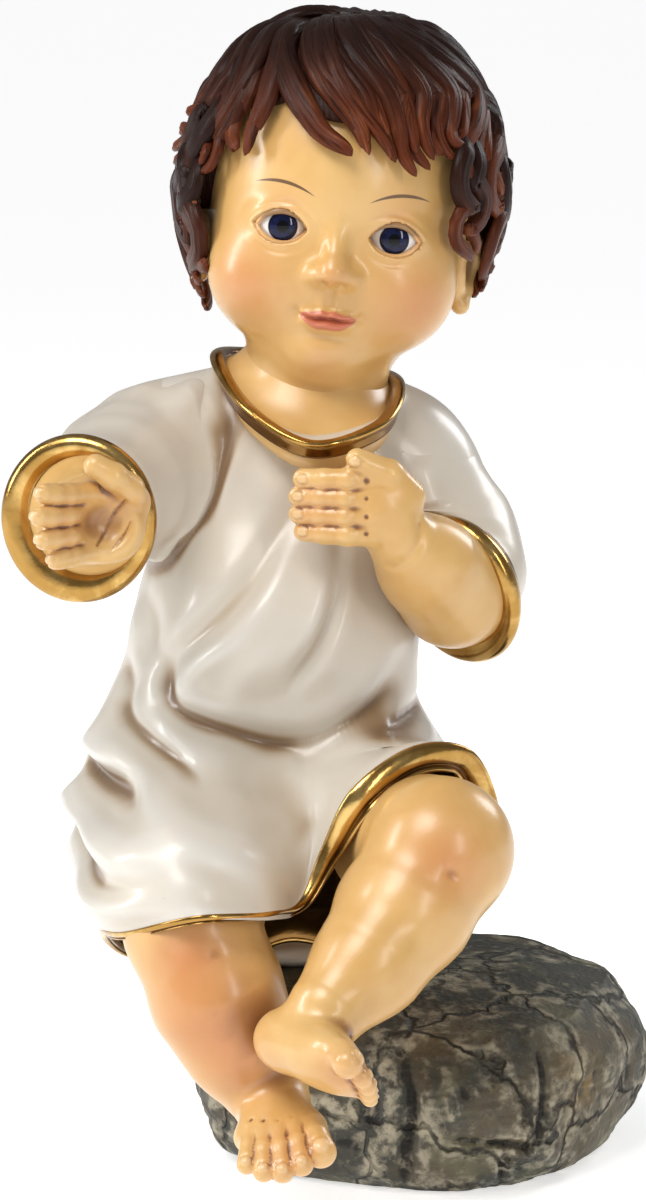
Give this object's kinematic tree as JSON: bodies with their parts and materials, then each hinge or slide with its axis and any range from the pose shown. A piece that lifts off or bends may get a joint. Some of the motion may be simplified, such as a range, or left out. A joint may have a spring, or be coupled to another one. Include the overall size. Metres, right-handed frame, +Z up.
{
  "type": "seated child figure statue",
  "caption": "Painted cast statue of a seated child in a short gold-edged tunic, one arm held out and a hand on the chest, on a dark rounded boulder.",
  "frame": {"origin": "middle of the boulder's flat underside", "axes": "+Z up, +X to the figure's left, -Y the way the figure faces"},
  "size_m": [0.216, 0.2435, 0.3893],
  "materials": {
    "tunic_white": "pearly satin paint",
    "skin": "satin flesh paint with brown wash",
    "gold": "burnished antique gold",
    "hair": "glossy dark brown paint",
    "eye_glass": "polished glass",
    "stone": "rough painted stone"
  },
  "bodies": {
    "root": {"figure": "skin", "eye_right": "eye_glass", "eye_left": "eye_glass", "rock": "stone"}
  },
  "joints": []
}
